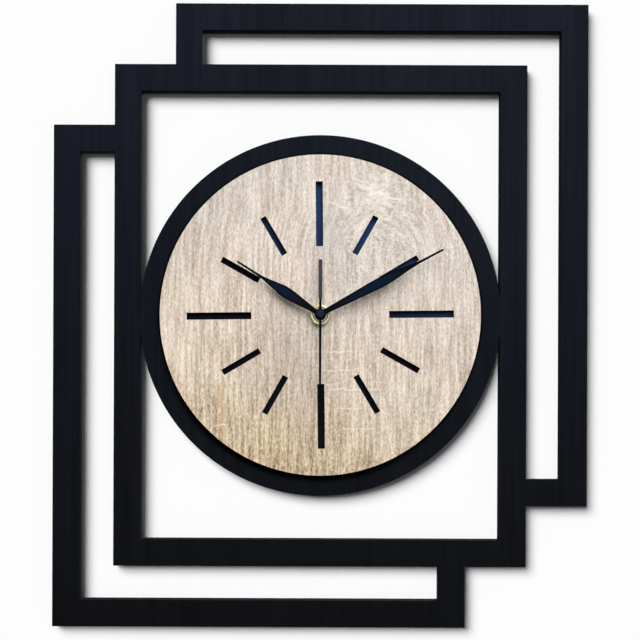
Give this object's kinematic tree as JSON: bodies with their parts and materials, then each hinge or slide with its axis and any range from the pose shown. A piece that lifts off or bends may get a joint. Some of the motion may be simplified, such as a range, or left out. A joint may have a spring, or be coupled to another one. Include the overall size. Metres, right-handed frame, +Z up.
{
  "type": "wall clock",
  "caption": "Rectangular wooden wall clock: stepped open black frames cut from one board, a round oak-faced dial with cut hour marks, and a quartz movement behind.",
  "frame": {"origin": "on the axis of the hands, at the rear face of the movement, which lies against the wall", "axes": "+Z up as the clock hangs, +Y into the wall, so the dial faces -Y, +X to the right as the clock is looked at"},
  "size_m": [0.305, 0.0373, 0.356],
  "materials": {
    "black_board": "black-stained fibreboard, satin, faint vertical grain",
    "oak_board": "pale oak-grain laminate, matt",
    "navy_hands": "satin navy-black lacquer",
    "brass": "turned and lacquered",
    "plated_steel": "zinc-plated pressed strip",
    "small_steel": "bright drawn steel",
    "motor_steel": "dull punched soft iron",
    "magnet": "dark sintered magnet",
    "rubber": "matt black rubber",
    "black_plastic": "fine spark-textured ABS",
    "chip_plastic": "black resin blob",
    "natural_plastic": "unpainted acetal",
    "white_plastic": "white acetal",
    "circuit_board": "green solder-masked laminate",
    "nickel": "nickel plate",
    "copper": "enamelled copper wire",
    "cell_jacket": "plain slate-blue sleeve, bare steel ends"
  },
  "bodies": {
    "clock_body": {"frame_panel": "black_board", "dial": "oak_board", "hanger": "plated_steel", "rubber_washer": "rubber", "brass_washer": "brass", "hex_nut": "brass", "threaded_sleeve": "brass", "movement_case": "black_plastic", "rear_cover": "black_plastic", "gear_plate": "natural_plastic", "circuit_board": "circuit_board", "timer_chip": "chip_plastic", "quartz_crystal": "nickel", "stator": "motor_steel", "coil_core": "motor_steel", "coil_bobbin": "white_plastic", "coil_winding": "copper", "motor_screw_left": "small_steel", "motor_screw_right": "small_steel", "positive_contact": "nickel", "negative_contact": "nickel"},
    "second_body": {"second_hand": "navy_hands", "second_hand_cap": "navy_hands", "second_arbor": "small_steel", "second_wheel": "natural_plastic"},
    "minute_body": {"minute_hand": "navy_hands", "minute_arbor": "white_plastic"},
    "hour_body": {"hour_hand": "navy_hands", "hour_wheel": "white_plastic"},
    "rotor_body": {"rotor_pinion": "white_plastic", "rotor_magnet": "magnet"},
    "intermediate_body": {"intermediate_wheel": "white_plastic"},
    "third_body": {"third_wheel": "white_plastic"},
    "centre_body": {"centre_wheel": "natural_plastic"},
    "reversing_body": {"reversing_wheel": "white_plastic"},
    "setting_body": {"setting_pinion": "white_plastic", "setting_knob": "black_plastic"},
    "battery_body": {"battery_cell": "cell_jacket"}
  },
  "joints": [
    {"name": "second_spin", "type": "hinge", "parent": "clock_body", "child": "second_body", "pos_m": [0, 0, 0], "axis": [0, 1, 0], "continuous": true},
    {"name": "minute_spin", "type": "hinge", "parent": "clock_body", "child": "minute_body", "pos_m": [0, 0, 0], "axis": [0, 1, 0], "continuous": true},
    {"name": "hour_spin", "type": "hinge", "parent": "clock_body", "child": "hour_body", "pos_m": [0, 0, 0], "axis": [0, 1, 0], "continuous": true},
    {"name": "rotor_spin", "type": "hinge", "parent": "clock_body", "child": "rotor_body", "pos_m": [0.00962, 0, 0.01484], "axis": [0, 1, 0], "continuous": true},
    {"name": "intermediate_spin", "type": "hinge", "parent": "clock_body", "child": "intermediate_body", "pos_m": [0.00182, 0, 0.01034], "axis": [0, 1, 0], "continuous": true},
    {"name": "third_spin", "type": "hinge", "parent": "clock_body", "child": "third_body", "pos_m": [-0.00764, 0, 0.00764], "axis": [0, 1, 0], "continuous": true},
    {"name": "centre_spin", "type": "hinge", "parent": "clock_body", "child": "centre_body", "pos_m": [0, 0, 0], "axis": [0, 1, 0], "continuous": true},
    {"name": "reversing_spin", "type": "hinge", "parent": "clock_body", "child": "reversing_body", "pos_m": [0.00886, 0, -0.00156], "axis": [0, 1, 0], "continuous": true},
    {"name": "setting_spin", "type": "hinge", "parent": "clock_body", "child": "setting_body", "pos_m": [0.01773, 0, -0.00313], "axis": [0, 1, 0], "continuous": true},
    {"name": "battery_slide", "type": "slide", "parent": "clock_body", "child": "battery_body", "axis": [0, 1, 0], "range_m": [0, 0.018]}
  ],
  "couplings": [
    {"joint": "rotor_spin", "follows": "second_spin", "ratio": 30},
    {"joint": "intermediate_spin", "follows": "second_spin", "ratio": -6},
    {"joint": "third_spin", "follows": "second_spin", "ratio": -0.125},
    {"joint": "centre_spin", "follows": "second_spin", "ratio": 0.016667},
    {"joint": "hour_spin", "follows": "minute_spin", "ratio": 0.083333},
    {"joint": "reversing_spin", "follows": "minute_spin", "ratio": -0.33333},
    {"joint": "setting_spin", "follows": "minute_spin", "ratio": 1}
  ]
}
